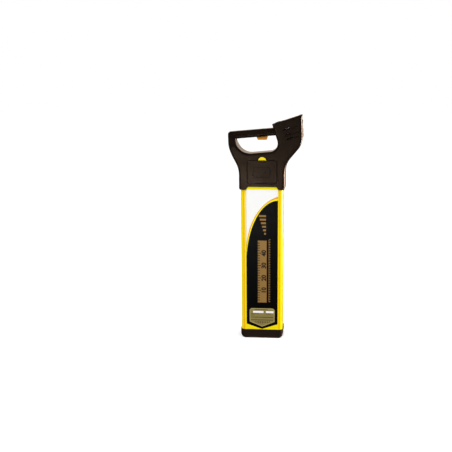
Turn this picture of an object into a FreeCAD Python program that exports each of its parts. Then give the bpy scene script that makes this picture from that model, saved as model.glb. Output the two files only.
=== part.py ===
import FreeCAD, Part
import math
import os
from FreeCAD import Vector

# Cable locator: a flat yellow blade with two aerials, a black head with a loop handle,
# a slanted display on top, a battery door in the neck and a wear boot at the bottom.
# Millimetres. Origin: middle of the boot's underside. +Z up, +X towards the nose,
# -Y is the side with the battery door.

# Blade tube
tubeWidth = 141.0
tubeDepth = 77.0
tubeCorner = 14.0
tubeWall = 3.0
tubeFloor = 4.0
skirtBottom = 513.5
tubeTop = skirtBottom + 17.5
tubeEarTop = skirtBottom + 58.5
tubeEarWidth = 17.0
tubeEndRadius = 15.5

# Foot boot
bootWall = 2.5
bootFloor = 6.0
bootHeight = 29.5
bootEndRadius = 18.0
bootLip = 0.9
footScrewSpacing = 80.0

# Head shell, its heights measured up from the skirt's rim
skirtSideStep = 5.5
skirtFaceStep = 4.0
headDepth = tubeDepth + 2 * skirtFaceStep
headWall = 3.0
headRound = 7.5
neckWidth = tubeWidth + 2 * skirtSideStep
skirtCorner = 6.0
rearBulgeX = -114.5
noseChin = (133.75, skirtBottom + 151.0)
noseLean = 2.4
noseTipX = 129.8

# Handle loop
gripSlope = 5.0
gripHeight = 25.2
gripDepth = 41.0
flareDrop = 18.0
flareRise = 8.5
gripRearCorner = 9.0
gapRearCorner = 5.0
gapFloorRear = 50.0
gapFloorFront = 28.0
gapFloorZ = skirtBottom + 128.0
gapUnderside = (-80.1, skirtBottom + 166.6)

# Display panel
displaySlope = 18.0
displayRear = (33.0, skirtBottom + 214.7)
bezelHeight = 6.0
bezelPlate = 2.5
bezelRound = 8.0
windowLength = 52.0
windowWidth = 56.0
windowStart = 38.0
windowThick = 1.5
buttonSize = 15.0
buttonOffset = 17.0
buttonStart = 18.0
buttonTravel = 1.0
buttonProud = 1.2

# Nose grille and loudspeaker, heights above the grille's foot
grilleFoot = skirtBottom + 171.5
grilleHeight = 57.0
grilleWidth = 62.0
grilleRecess = 2.0
grilleFace = 0.2
grilleBand = 1.8
speakerRadius = 25.0
speakerUp = 28.0
chinGrooveCount = 10
chinGroovePitch = 3.4
chinGrooveWidth = 1.4
chinGrooveDeep = 0.8

# Battery door and its bay
doorWidth = 97.0
doorHeight = 75.0
doorThick = 3.0
doorCorner = 7.0
doorMidX = 1.5
doorBottom = skirtBottom + 21.7
doorGap = 1.4
hingeRound = 3.0
hingeUp = 7.5
hingePin = 2.5
pinReach = doorGap + 5.0
iconWidth = 54.0
iconHeight = 33.0
engraving = 0.5

# Latch above the door
latchRadius = 13.5
latchDrop = 2.7
latchTravel = 2.5
latchGap = 3.0
latchProud = 1.4

# Trigger
triggerWidth = 15.0
triggerFrontX = 16.8
triggerRearX = -20.5
triggerBottomZ = skirtBottom + 162.1
triggerPivot = (11.0, skirtBottom + 181.5)
triggerPin = 3.0

# Batteries
cellDiameter = 14.2
cellLength = 50.0
cellPitch = 14.9

# Aerials
coreDiameter = 10.0
coreLength = 64.0
coilDiameter = 24.0
aerialHeights = {"lower": 52.0, "upper": skirtBottom - 83.5}

# Fits
slideFit = 0.2
pinFit = 0.05
filmThick = 0.25

half = headDepth / 2
innerHalf = half - headWall
tubeX = tubeWidth / 2
tubeY = tubeDepth / 2
neckX = neckWidth / 2
displayTan = math.tan(math.radians(displaySlope))
displayCos = math.cos(math.radians(displaySlope))
gripTan = math.tan(math.radians(gripSlope))
doorTop = doorBottom + doorHeight
doorLeft = doorMidX - doorWidth / 2
doorRight = doorMidX + doorWidth / 2
hingeY = -half + hingeRound
hingeZ = doorBottom + hingeUp
labelFace = -tubeY

# Screw posts that join the two halves: x, z, half depth of the shell there
neckPostX = tubeX - 9.5
postRadius = 4.2
shellScrew = 3.0
shellScrewHead = 5.8
posts = {
    "neckRearLow": (-neckPostX, skirtBottom + 8.5, innerHalf),
    "neckFrontLow": (neckPostX, skirtBottom + 8.5, innerHalf),
    "neckRearHigh": (-neckPostX, skirtBottom + 46.5, innerHalf),
    "neckFrontHigh": (neckPostX, skirtBottom + 46.5, innerHalf),
    "handleRoot": (-88.0, skirtBottom + 124.5, innerHalf),
    "gripRear": (-101.0, skirtBottom + 178.0, gripDepth / 2 - headWall),
    "gripFront": (29.0, skirtBottom + 189.7, gripDepth / 2 - headWall),
    "blockLow": (72.0, skirtBottom + 141.5, innerHalf),
    "noseLow": (110.0, skirtBottom + 154.5, innerHalf),
    "noseHigh": (96.0, displayRear[1] + (96.0 - displayRear[0]) * displayTan - 28.7, innerHalf),
}


def box(x0, x1, y0, y1, z0, z1):
    return Part.makeBox(x1 - x0, y1 - y0, z1 - z0, Vector(x0, y0, z0))


def alongX(radius, x0, x1, y, z):
    return Part.makeCylinder(radius, x1 - x0, Vector(x0, y, z), Vector(1, 0, 0))


def alongY(radius, x, y0, y1, z):
    return Part.makeCylinder(radius, y1 - y0, Vector(x, y0, z), Vector(0, 1, 0))


def alongZ(radius, x, y, z0, z1):
    return Part.makeCylinder(radius, z1 - z0, Vector(x, y, z0), Vector(0, 0, 1))


def fuseAll(shapes):
    result = shapes[0]
    if len(shapes) > 1:
        result = result.fuse(shapes[1:])
    return result.removeSplitter()


def edgeMid(edge):
    return edge.valueAt((edge.FirstParameter + edge.LastParameter) / 2)


def sharpEdge(shape, edge, degrees=12.0):
    faces = shape.ancestorsOfType(edge, Part.Face)
    if len(faces) != 2:
        return False
    normals = []
    for face in faces:
        u, v = face.Surface.parameter(edgeMid(edge))
        normals.append(face.normalAt(u, v))
    return normals[0].getAngle(normals[1]) > math.radians(degrees)


def insetOutline(points, radii, inset):
    """Corner points and radii of an outline moved inwards by inset."""
    count = len(points)
    area = sum(points[i - 1][0] * points[i][1] - points[i][0] * points[i - 1][1]
               for i in range(count))
    turn = 1 if area > 0 else -1
    lines = []
    for i in range(count):
        x0, z0 = points[i]
        x1, z1 = points[(i + 1) % count]
        length = math.hypot(x1 - x0, z1 - z0)
        dx = (x1 - x0) / length
        dz = (z1 - z0) / length
        lines.append((x0 - dz * turn * inset, z0 + dx * turn * inset, dx, dz))
    newPoints = []
    newRadii = []
    for i in range(count):
        ax, az, adx, adz = lines[i - 1]
        bx, bz, bdx, bdz = lines[i]
        cross = adx * bdz - adz * bdx
        step = ((bx - ax) * bdz - (bz - az) * bdx) / cross
        newPoints.append((ax + step * adx, az + step * adz))
        convex = cross * turn > 0
        radius = radii[i]
        if radius > 0:
            radius = max(0.4, radius - inset if convex else radius + inset)
        newRadii.append(radius)
    return newPoints, newRadii


def outlineWire(points, radii, y=0.0):
    """Closed outline in a plane square to Y, with an arc at each corner that has a radius."""
    count = len(points)
    level = Vector(0, y, 0)
    corners = []
    for i in range(count):
        here = Vector(points[i][0], 0, points[i][1])
        before = Vector(points[i - 1][0], 0, points[i - 1][1])
        after = Vector(points[(i + 1) % count][0], 0, points[(i + 1) % count][1])
        if radii[i] == 0:
            corners.append((here, here, here))
            continue
        back = (before - here).normalize()
        ahead = (after - here).normalize()
        opening = back.getAngle(ahead)
        reach = radii[i] / math.tan(opening / 2)
        middle = (back + ahead).normalize()
        centre = here + middle * (radii[i] / math.sin(opening / 2))
        corners.append((here + back * reach, centre - middle * radii[i], here + ahead * reach))
    edges = []
    for i in range(count):
        start, middle, end = corners[i]
        if radii[i] > 0:
            edges.append(Part.Arc(start + level, middle + level, end + level).toShape())
        following = corners[(i + 1) % count][0]
        if (following - end).Length > 1e-4:
            edges.append(Part.LineSegment(end + level, following + level).toShape())
    return Part.Wire(Part.__sortEdges__(edges))


def slab(points, radii, y0, y1):
    """Outline in XZ given a thickness along Y."""
    return Part.Face([outlineWire(points, radii, y0)]).extrude(Vector(0, y1 - y0, 0))


def plate(x0, x1, z0, z1, radius, y0, y1):
    return slab([(x0, z0), (x1, z0), (x1, z1), (x0, z1)], [radius] * 4, y0, y1)


def column(halfX, halfY, radius, z0, z1):
    """Upright column with a rounded rectangular section."""
    body = plate(-halfX, halfX, -halfY, halfY, radius, 0, z1 - z0)
    body.rotate(Vector(0, 0, 0), Vector(1, 0, 0), 90)
    body.translate(Vector(0, 0, z0))
    return body


def helix(radius, wire, pitch, turns, x, y, z0):
    """One unbroken wire wound upwards from z0."""
    path = Part.makeHelix(pitch, pitch * turns, radius)
    section = Part.Wire(Part.makeCircle(wire / 2, Vector(radius, 0, 0), Vector(0, 1, 0)))
    coil = path.makePipeShell([section], True, True)
    coil.translate(Vector(x, y, z0 + wire / 2))
    return coil


# Lines that the head is laid out on


def blockRearX(z):
    return displayRear[0] + (displayRear[1] - z) * displayTan


def displayZ(x):
    return displayRear[1] + (x - displayRear[0]) * displayTan


def noseFrontX(z):
    return noseChin[0] - (z - noseChin[1]) * math.tan(math.radians(noseLean))


def gripUndersideZ(x):
    return gapUnderside[1] + (x - gapUnderside[0]) * gripTan


def gripTopZ(x):
    return gripUndersideZ(x) + gripHeight / math.cos(math.radians(gripSlope))


def meetBlockRear(z0, slope):
    """Where a line through (0, z0) with this slope meets the block's rear face."""
    z = (z0 + slope * (displayRear[0] + displayRear[1] * displayTan)) / (1 + slope * displayTan)
    return blockRearX(z), z


def headOutline():
    above = displayRear[1] + 40.0
    tip = noseFrontX(displayZ(noseTipX) + 40.0)
    points = [
        (-neckX, skirtBottom - 33.5),
        (-neckX, skirtBottom + 68.7),
        (rearBulgeX + 1.8, skirtBottom + 138.5),
        (rearBulgeX, gripTopZ(rearBulgeX)),
        meetBlockRear(gripTopZ(0), gripTan),
        (blockRearX(above), above),
        (tip, displayZ(tip) + 40.0),
        noseChin,
        (neckX, skirtBottom + 82.5),
        (neckX, skirtBottom - 33.5),
    ]
    return points, [0, 87.0, 150.0, gripRearCorner, 0, 0, 0, 60.0, 81.0, 0]


def gapOutline():
    front = blockRearX(gapFloorZ)
    floorRearX = -75.5
    points = [
        (-89.4, gripUndersideZ(-89.4)),
        (floorRearX, gapFloorZ - (front - floorRearX) * gripTan),
        (front, gapFloorZ),
        meetBlockRear(gripUndersideZ(0), gripTan),
    ]
    return points, [gapRearCorner, gapFloorRear, gapFloorFront, 0]


def handleTaper(inset):
    """Everything within the head's depth, drawn in towards the grip above the gap's floor."""
    grip = gripDepth / 2
    points = [(-half, -330), (-half, -flareDrop), (-grip, flareRise), (-grip, 150),
              (grip, 150), (grip, flareRise), (half, -flareDrop), (half, -330)]
    points, radii = insetOutline(points, [0, 22, 40, 0, 0, 40, 22, 0], inset)
    rear = Part.Face([outlineWire(points, radii)])
    rear.rotate(Vector(0, 0, 0), Vector(0, 0, 1), 90)
    rear.translate(Vector(-200, 0, 0))
    rear = rear.extrude(Vector(420, 0, 0))
    rear.rotate(Vector(0, 0, 0), Vector(0, 1, 0), -gripSlope)
    rear.translate(Vector(gapUnderside[0], 0, gapUnderside[1]))
    shift = inset / displayCos
    foot = skirtBottom - 73.5
    gapTop = skirtBottom + 170.5
    farTop = skirtBottom + 336.5
    side = [(10, foot), (10, gapTop), (blockRearX(gapTop) + shift, gapTop),
            (blockRearX(farTop) + shift, farTop), (180, farTop), (180, foot)]
    block = slab(side, [0] * 6, -60, 60)
    return rear.cut(block).fuse(block)


def headForm(inset):
    """Outer form of the head, or its hollow when inset by the wall."""
    points, radii = insetOutline(*headOutline(), inset)
    depth = half - inset
    form = slab(points, radii, -depth, depth)
    gapPoints, gapRadii = gapOutline()
    gapPoints, _ = insetOutline(gapPoints, gapRadii, -inset)
    gapRadii = [radius + inset if radius else 0 for radius in gapRadii]
    form = form.cut(slab(gapPoints, gapRadii, -depth, depth))
    return form.common(handleTaper(inset)).removeSplitter()


def roundHead(form):
    chosen = []
    for edge in form.Edges:
        mid = edgeMid(edge)
        if abs(mid.y) < 15 or edge.BoundBox.YLength > 20 or mid.z < skirtBottom - 32.5:
            continue
        if abs(mid.x - blockRearX(mid.z)) < 0.3 and abs(mid.y) < half - 1:
            continue
        if sharpEdge(form, edge):
            chosen.append(edge)
    return form.makeFillet(headRound, chosen)


def displayBlock(u0, u1, v0, v1, w0, w1, radius=0.0):
    """Block in the display's own frame: u up the slope, v across, w out of the face."""
    body = plate(u0, u1, -v1, -v0, radius, 0, w1 - w0)
    body.rotate(Vector(0, 0, 0), Vector(1, 0, 0), 90)
    body.translate(Vector(0, 0, w0))
    return toDisplay(body)


def displayPost(radius, u, v, w0, w1):
    return toDisplay(alongZ(radius, u, v, w0, w1))


def toDisplay(body):
    body.rotate(Vector(0, 0, 0), Vector(0, 1, 0), -displaySlope)
    body.translate(Vector(displayRear[0], 0, displayRear[1]))
    return body


displayLength = (noseTipX - displayRear[0]) / displayCos


def trimHead(shape):
    """Cuts the shell off at the bezel's underside and at the skirt's rim."""
    shape = shape.cut(displayBlock(-8, 200, -80, 80, -bezelHeight, 200))
    rim = skirtBottom
    flare = rim + 30
    over = rim + 306.5
    keep = slab([(-neckX, rim), (neckX, rim), (neckX, flare), (200, flare), (200, over),
                 (-200, over), (-200, flare), (-neckX, flare)],
                [skirtCorner, skirtCorner, 0, 0, 0, 0, 0, 0], -80, 80)
    return shape.common(keep)


def shellScrewHole(x, z, depth):
    """Cutter for one joining screw: counterbore from the far side, clearance, pilot."""
    seat = 8.0
    return [alongY(shellScrewHead / 2 + 0.6, x, seat, half + 5, z),
            alongY(shellScrew / 2 + slideFit, x, 0, seat, z),
            alongY(shellScrew / 2 + pinFit, x, -14.0, 0, z)]


def labelNotch():
    """Skirt cut-out above the label on the door side."""
    z0 = skirtBottom - 1
    z1 = skirtBottom + 10
    mid = doorMidX - 0.5
    return slab([(mid - 55.5, z0), (mid + 55.5, z0), (mid + 46.5, z1), (mid - 46.5, z1)],
                [0, 0, 1.5, 1.5], -half - 5, -tubeY - 0.1)


def gillRidge(x, z, length):
    """Low rib under a row of gill slots that runs on to the nose's corner."""
    ridge = plate(0, length, 1.0 - gillRidgeHeight, 1.0, gillRidgeHeight * 0.45, -gillProud, 1.0)
    ridge.rotate(Vector(0, 0, 0), Vector(0, 1, 0), -displaySlope)
    ridge.translate(Vector(x, -half, z))
    return ridge


# Gills beside the nose: x, z and length of each ridge, start and length of its slots
gills = [(70.5, skirtBottom + 193.5, 53.0, ((3.0, 8.0), (13.0, 8.5))),
         (81.5, skirtBottom + 178.0, 41.0, ((10.5, 3.6),)),
         (80.5, skirtBottom + 163.5, 43.0, ((3.0, 8.0), (13.0, 8.5)))]
gillProud = 1.3
gillRidgeHeight = 2.6
gillSlotHeight = 2.8
socketPlace = (81.5, skirtBottom + 180.8)
socketRadius = 5.0
socketDeep = 2.4


def gillSlots(x, z, slots, side):
    cutters = []
    for start, length in slots:
        slot = Part.makeBox(length, 2 * headWall, gillSlotHeight)
        slot.translate(Vector(start, -headWall, 1.2))
        slot.rotate(Vector(0, 0, 0), Vector(0, 1, 0), -displaySlope)
        slot.translate(Vector(x, side * (half - 0.5), z))
        cutters.append(slot)
    return cutters


def chinGrooves():
    """Fine level grooves across the chin, from the grille's foot down its curve."""
    points, radii = insetOutline(*headOutline(), chinGrooveDeep)
    core = slab(points, radii, -half, half)
    grooves = []
    for step in range(chinGrooveCount):
        top = grilleFoot - 2.4 - step * chinGroovePitch
        level = box(70, 150, -grilleWidth / 2, grilleWidth / 2, top - chinGrooveWidth, top)
        grooves.append(level.cut(core))
    return grooves


def noseBlock(h0, h1, v0, v1, d0, d1, radius=0.0):
    """Block in the nose's frame: h up its front from the grille's foot, v across, d outwards."""
    body = plate(-v1, -v0, h0, h1, radius, -d1, -d0)
    body.rotate(Vector(0, 0, 0), Vector(0, 0, 1), 90)
    return toNose(body)


def toNose(body):
    body.rotate(Vector(0, 0, 0), Vector(0, 1, 0), -noseLean)
    body.translate(Vector(noseFrontX(grilleFoot), 0, grilleFoot))
    return body


def noseOpenings():
    """Recess for the grille and the sound opening behind it."""
    recess = noseBlock(-slideFit, grilleHeight + slideFit, -grilleWidth / 2 - slideFit,
                       grilleWidth / 2 + slideFit, -grilleRecess, 20)
    sound = toNose(alongX(speakerRadius - 3, -10, 5, 0, speakerUp))
    return [recess, sound]


def headShells():
    outer = roundHead(headForm(0))
    hollow = headForm(headWall)
    walls = outer.cut(hollow)
    solid = [walls]
    for x, z, depth in posts.values():
        solid.append(alongY(postRadius, x, -depth - 0.5, depth + 0.5, z))
    # Pad that the latch slides in, above the door
    pad = plate(doorMidX - 21, doorMidX + 21, doorTop + 1.2, padTop, 3, -innerHalf - 0.5, padFace)
    solid.append(pad)
    solid.append(box(doorMidX - 4, doorMidX + 4, padFace - 0.5, keeperFace + 0.4, springTop, padTop))
    # Blocks that hold the ends of the door's hinge pin
    for x0 in (doorLeft - doorGap - 7.0, doorRight + doorGap):
        solid.append(box(x0, x0 + 7.0, -innerHalf - 0.5, -innerHalf + 4.5, hingeZ - 4, hingeZ + 4))
    # Walls that carry the trigger's pin
    px, pz = triggerPivot
    for y0 in (-triggerWidth / 2 - 3.2, triggerWidth / 2 + 0.2):
        solid.append(box(px - 4.5, px + 4.5, y0, y0 + 3.0, gripUndersideZ(px) + 2.0, gripTopZ(px) - 2.0))
    for y0, y1 in ((-gripDepth / 2 + 1, -triggerWidth / 2 - 0.3), (triggerWidth / 2 + 0.3, gripDepth / 2 - 1)):
        solid.append(box(px - 1.2, px + 1.2, y0, y1, gripUndersideZ(px) + 2.0, gripTopZ(px) - 2.0))
    shell = trimHead(fuseAll(solid))
    cutters = [labelNotch()] + noseOpenings()
    for x, z, depth in posts.values():
        cutters += shellScrewHole(x, z, depth)
    for x, z, length, slots in gills:
        for side in (-1, 1):
            cutters += gillSlots(x, z, slots, side)
    cutters += chinGrooves()
    cutters.append(alongY(socketRadius, socketPlace[0], -half - 5, -innerHalf + 1, socketPlace[1]))
    cutters.append(doorOutline(doorGap, -half - 5, -innerHalf + 8))
    cutters += latchPocket()
    cutters.append(alongX(hingePin / 2 + pinFit, doorLeft - pinReach - 0.4, doorRight + pinReach + 0.4, hingeY, hingeZ))
    cutters.append(box(triggerRearX - 2.0, triggerFrontX + 1.0, -triggerWidth / 2 - 0.4,
                       triggerWidth / 2 + 0.4, triggerBottomZ - 5.6, gripUndersideZ(triggerFrontX) + 3.6))
    cutters.append(alongY(triggerPin / 2 + pinFit, px, -triggerWidth / 2 - 3.3, triggerWidth / 2 + 3.3, pz))
    shell = shell.cut(cutters)
    near = shell.common(box(-200, 200, -100, 0, skirtBottom - 1, skirtBottom + 400))
    far = shell.common(box(-200, 200, 0, 100, skirtBottom - 1, skirtBottom + 400))
    return largest(near), largest(far)


padTop = doorTop + 19.8
padFace = -36.0
keeperFace = -32.2
latchFoot = doorTop + 0.6
keeperTop = latchFoot + 10.5
springTop = padTop - 2.2


def largest(shape):
    return max(shape.Solids, key=lambda solid: solid.Volume)


def latchPocket():
    """Half-round pocket with the slot that the latch's stem runs in."""
    z = doorTop + 0.2
    pocket = alongY(latchRadius + latchGap, doorMidX, -half - 5, -innerHalf + 0.1, latchFoot - latchDrop)
    pocket = pocket.common(box(-60, 60, -60, 0, z, z + 40))
    slot = box(doorMidX - 4.7, doorMidX + 4.7, -50, -30, z + 2.0, z + 8.4 + latchTravel)
    return [pocket, slot]


def doorLatch():
    z = latchFoot
    dome = alongY(latchRadius, doorMidX, -half - latchProud, -innerHalf - 0.1, z - latchDrop)
    dome = dome.common(box(-60, 60, -60, 0, z, z + 40))
    rim = [edge for edge in dome.Edges if abs(edgeMid(edge).y + half + latchProud) < 0.01]
    dome = dome.makeFillet(1.6, rim)
    thumbRib = box(doorMidX - 5.0, doorMidX + 5.0, -half - latchProud - 0.5, -half - latchProud + 0.5,
                   z + 2.6, z + 3.8)
    stem = box(doorMidX - 4.5, doorMidX + 4.5, -innerHalf - 1, padFace + 0.5, z + 2.2, z + 7.6)
    keeper = box(doorMidX - 7.5, doorMidX + 7.5, padFace + 0.3, keeperFace, z + 0.2, keeperTop)
    return fuseAll([dome, thumbRib, stem, keeper])


def latchSpring():
    wire = 0.6
    turns = 4
    pitch = (springTop - keeperTop - wire - 0.1) / turns
    return helix(1.6, wire, pitch, turns, doorMidX, (padFace + keeperFace) / 2 + 0.2, keeperTop + 0.05)


def doorOutline(grow, y0, y1):
    """Rounded door outline, grown all round by grow."""
    x0 = doorLeft - grow
    x1 = doorRight + grow
    return slab([(x0, doorBottom - grow), (x1, doorBottom - grow), (x1, doorTop + grow), (x0, doorTop + grow)],
                [doorCorner + grow] * 4, y0, y1)


def batteryDoor():
    """Door plate that turns on a barrel behind its bottom edge."""
    skin = doorOutline(0, -half, -half + doorThick)
    barrel = alongX(hingeRound, doorLeft + 4.0, doorRight - 4.0, hingeY, hingeZ)
    barrel = barrel.common(box(-200, 200, -half + 1.0, 0, hingeZ - 10, hingeZ + 10))
    door = fuseAll([skin, barrel])
    door = door.cut(alongX(hingePin / 2 + pinFit, doorLeft - 1, doorRight + 1, hingeY, hingeZ))
    # Battery sign: outline with a nub, a minus and a plus, sunk into the face
    zc = doorBottom + 36.5
    xc = doorMidX - 0.8
    w = 1.4
    frame = plate(xc - iconWidth / 2, xc + iconWidth / 2, zc - iconHeight / 2, zc + iconHeight / 2, 2.0,
                  -half - 1, -half + engraving)
    frame = frame.cut(plate(xc - iconWidth / 2 + w, xc + iconWidth / 2 - w, zc - iconHeight / 2 + w,
                            zc + iconHeight / 2 - w, 1.2, -half - 2, -half + 2))
    nubX = xc + iconWidth / 2
    cut0 = -half - 1
    cut1 = -half + engraving
    cutters = [frame,
               box(nubX, nubX + 3.6, cut0, cut1, zc + 4.6, zc + 4.6 + w),
               box(nubX, nubX + 3.6, cut0, cut1, zc - 5.6 - w, zc - 5.6),
               box(nubX + 2.6, nubX + 3.6, cut0, cut1, zc - 5.6, zc + 4.6),
               box(xc - 15.8, xc - 8.2, cut0, cut1, zc - 0.6, zc + 0.6),
               box(xc + 8.6, xc + 16.6, cut0, cut1, zc - 0.6, zc + 0.6),
               box(xc + 12.0, xc + 13.2, cut0, cut1, zc - 4.0, zc + 4.0)]
    # Finger notch under the latch
    cutters.append(alongY(4.5, doorMidX, -half - 1, -half + 2.2, doorTop + 1.6))
    return door.cut(cutters)


def doorGasket():
    y0 = -half + doorThick
    y1 = y0 + 1.2
    ring = plate(doorLeft + 4, doorRight - 4, hingeZ + 5.0, doorTop - 3, 5, y0, y1)
    return ring.cut(plate(doorLeft + 7.5, doorRight - 7.5, hingeZ + 8.5, doorTop - 6.5, 3, y0 - 1, y1 + 1))


def doorPin():
    return alongX(hingePin / 2, doorLeft - pinReach, doorRight + pinReach, hingeY, hingeZ)


trayBack = -1.6
holderLength = 58.0
holderHeight = 3 * cellPitch + 3.0
holderDepth = 2 * cellPitch + 1.6
holderMidZ = hingeZ + 34.3


def batteryTray():
    """Open box behind the door, with a flange that the gasket closes on."""
    y0 = -half + doorThick + 1.2 + 0.1
    flangeTop = doorTop + 0.8
    flange = plate(doorLeft - 3.5, doorRight + 3.5, hingeZ + 4.4, flangeTop, 4, y0, y0 + 2.0)
    rimSides = [box(doorLeft - 3.5, doorLeft - 1.2, -innerHalf, y0 + 0.5, hingeZ + 10, doorTop - 6),
                box(doorRight + 1.2, doorRight + 3.5, -innerHalf, y0 + 0.5, hingeZ + 10, doorTop - 6)]
    halfLength = holderLength / 2 + 0.5
    z0 = holderMidZ - holderHeight / 2 - 0.5
    z1 = holderMidZ + holderHeight / 2 + 0.5
    bay = plate(doorMidX - halfLength - 2, doorMidX + halfLength + 2, z0 - 2, z1 + 2, 3, y0, trayBack)
    hollow = plate(doorMidX - halfLength, doorMidX + halfLength, z0, z1, 1, y0 - 5, trayBack - 2.0)
    return fuseAll([flange, bay] + rimSides).cut(hollow)


def cellPlaces():
    places = []
    for layer in range(2):
        for row in range(3):
            y = trayBack - 2.0 - 0.3 - 0.8 - cellPitch * (layer + 0.5)
            z = holderMidZ + (row - 1) * cellPitch
            places.append((y, z, layer + row))
    return places


def batteryHolder():
    y1 = trayBack - 2.0 - 0.3
    y0 = y1 - holderDepth
    body = box(doorMidX - holderLength / 2, doorMidX + holderLength / 2, y0, y1,
               holderMidZ - holderHeight / 2, holderMidZ + holderHeight / 2)
    end = holderLength / 2 - 2.0
    for y, z, _ in cellPlaces():
        body = body.cut(alongX(cellDiameter / 2 + slideFit, doorMidX - end, doorMidX + end, y, z))
    window = 21.0
    front = box(doorMidX - window, doorMidX + window, y0 - 1, y0 + 6.5,
                holderMidZ - holderHeight / 2 - 1, holderMidZ + holderHeight / 2 + 1)
    return largest(body.cut(front))


def batteryCells():
    cells = []
    for y, z, turn in cellPlaces():
        way = 1 if turn % 2 else -1
        start = -cellLength / 2
        can = alongX(cellDiameter / 2, start, start + cellLength - 1.6, 0, 0)
        nub = alongX(2.7, start + cellLength - 1.6, start + cellLength, 0, 0)
        cell = can.fuse(nub).removeSplitter()
        if way < 0:
            cell = cell.mirror(Vector(0, 0, 0), Vector(1, 0, 0))
        cell.translate(Vector(doorMidX, y, z))
        cells.append(cell)
    return Part.makeCompound(cells)


def batteryContacts():
    """Contact plates at both ends of the cells."""
    plates = []
    end = holderLength / 2 - 2.0
    for y, z, _ in cellPlaces():
        for side in (-1, 1):
            x = doorMidX + side * (end - 0.4)
            plates.append(box(x - 0.4, x + 0.4, y - 4.5, y + 4.5, z - 4.5, z + 4.5))
    return Part.makeCompound(plates)


def endRounded(halfX, radius, z0, z1):
    """Side view with rounded lower corners."""
    return slab([(-halfX, z0), (halfX, z0), (halfX, z1), (-halfX, z1)], [radius, radius, 0, 0], -80, 80)


def bladeTube():
    outer = column(tubeX, tubeY, tubeCorner, bootFloor, tubeEarTop)
    outer = outer.common(endRounded(tubeX, tubeEndRadius, bootFloor, tubeEarTop))
    inner = column(tubeX - tubeWall, tubeY - tubeWall, tubeCorner - tubeWall, bootFloor, tubeEarTop + 1)
    inner = inner.common(endRounded(tubeX - tubeWall, tubeEndRadius - tubeWall,
                                    bootFloor + tubeFloor, tubeEarTop + 1))
    tube = outer.cut(inner)
    # Above the rim only two ears stay, beside the far half's screw posts
    tube = tube.cut([box(-tubeWidth, tubeWidth, -60, 6, tubeTop, tubeEarTop + 1),
                     box(-tubeX + tubeEarWidth, tubeX - tubeEarWidth, 0, 60, tubeTop, tubeEarTop + 1)])
    bosses = [alongZ(5.0, side * footScrewSpacing / 2, 0, bootFloor + 1, bootFloor + 20) for side in (-1, 1)]
    tube = fuseAll([tube] + bosses)
    cutters = [alongZ(1.5 + pinFit, side * footScrewSpacing / 2, 0, bootFloor - 1, bootFloor + 17)
               for side in (-1, 1)]
    for name in ("neckRearLow", "neckFrontLow", "neckRearHigh", "neckFrontHigh"):
        x, z, _ = posts[name]
        cutters.append(alongY(postRadius + 0.3, x, -50, 50, z))
    return tube.cut(cutters)


def footBoot():
    halfX = tubeX + bootWall
    halfY = tubeY + bootWall
    outer = column(halfX, halfY, tubeCorner + bootWall, 0, bootHeight)
    outer = outer.common(endRounded(halfX, bootEndRadius, 0, bootHeight))
    rim = [edge for edge in outer.Edges if edge.BoundBox.ZMin > bootHeight - 0.01]
    outer = outer.makeFillet(bootLip, rim)
    pocket = column(tubeX + pinFit, tubeY + pinFit, tubeCorner + pinFit, bootFloor, bootHeight + 5)
    pocket = pocket.common(endRounded(tubeX + pinFit, tubeEndRadius, bootFloor, bootHeight + 5))
    boot = outer.cut(pocket)
    for side in (-1, 1):
        x = side * footScrewSpacing / 2
        boot = boot.cut([alongZ(4.2, x, 0, -1, 3.4), alongZ(1.9, x, 0, 3, bootFloor + 1)])
    return boot


def footScrews():
    screws = []
    for side in (-1, 1):
        x = side * footScrewSpacing / 2
        head = alongZ(3.6, x, 0, 1.0, 3.4).cut(box(x - 2.4, x + 2.4, -0.5, 0.5, 0, 2.0))
        screws.append(head.fuse(alongZ(1.5, x, 0, 3.4, bootFloor + 14)).removeSplitter())
    return Part.makeCompound(screws)


def shellScrews():
    screws = []
    seat = 8.0
    for x, z, _ in posts.values():
        head = alongY(shellScrewHead / 2, x, seat, seat + 2.2, z)
        head = head.cut(box(x - 2.0, x + 2.0, seat + 1.0, seat + 3, z - 0.4, z + 0.4))
        head = head.cut(box(x - 0.4, x + 0.4, seat + 1.0, seat + 3, z - 2.0, z + 2.0))
        screws.append(head.fuse(alongY(shellScrew / 2, x, -12.0, seat, z)).removeSplitter())
    return Part.makeCompound(screws)


labelMidX = 1.0
labelWidth = tubeWidth - 2 * tubeCorner - 7.0
labelShoulder = 49.0
labelApex = 31.0
labelTop = skirtBottom + 12.5


def sideLabel():
    x0 = labelMidX - labelWidth / 2
    x1 = labelMidX + labelWidth / 2
    return slab([(labelMidX, labelApex), (x1, labelShoulder), (x1, labelTop), (x0, labelTop),
                 (x0, labelShoulder)], [3, 2, 2, 2, 2], labelFace - filmThick, labelFace)


plateWidth = labelWidth - 20.0
plateTop = 105.0
plateShoulder = 57.0
plateApex = 39.0


def dataPlate():
    x0 = labelMidX - plateWidth / 2
    x1 = labelMidX + plateWidth / 2
    chamfer = 6.0
    face = labelFace - filmThick
    return slab([(labelMidX, plateApex), (x1, plateShoulder), (x1, plateTop - chamfer),
                 (x1 - chamfer, plateTop), (x0 + chamfer, plateTop), (x0, plateTop - chamfer),
                 (x0, plateShoulder)], [2, 1, 1, 1, 1, 1, 1], face - filmThick, face)


def neckGasket():
    """Rubber ring that packs the blade in the skirt, above the label notch."""
    z0 = skirtBottom + 11.0
    z1 = z0 + 4.0
    ring = column(neckX - headWall - 0.1, innerHalf - 0.1, 6.0, z0, z1)
    ring = ring.cut(column(tubeX + 0.1, tubeY + filmThick + 0.1, tubeCorner, z0 - 1, z1 + 1))
    clear = [alongY(postRadius + 0.4, posts[name][0], -60, 60, posts[name][1])
             for name in ("neckRearLow", "neckFrontLow")]
    return largest(ring.cut(clear))


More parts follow.
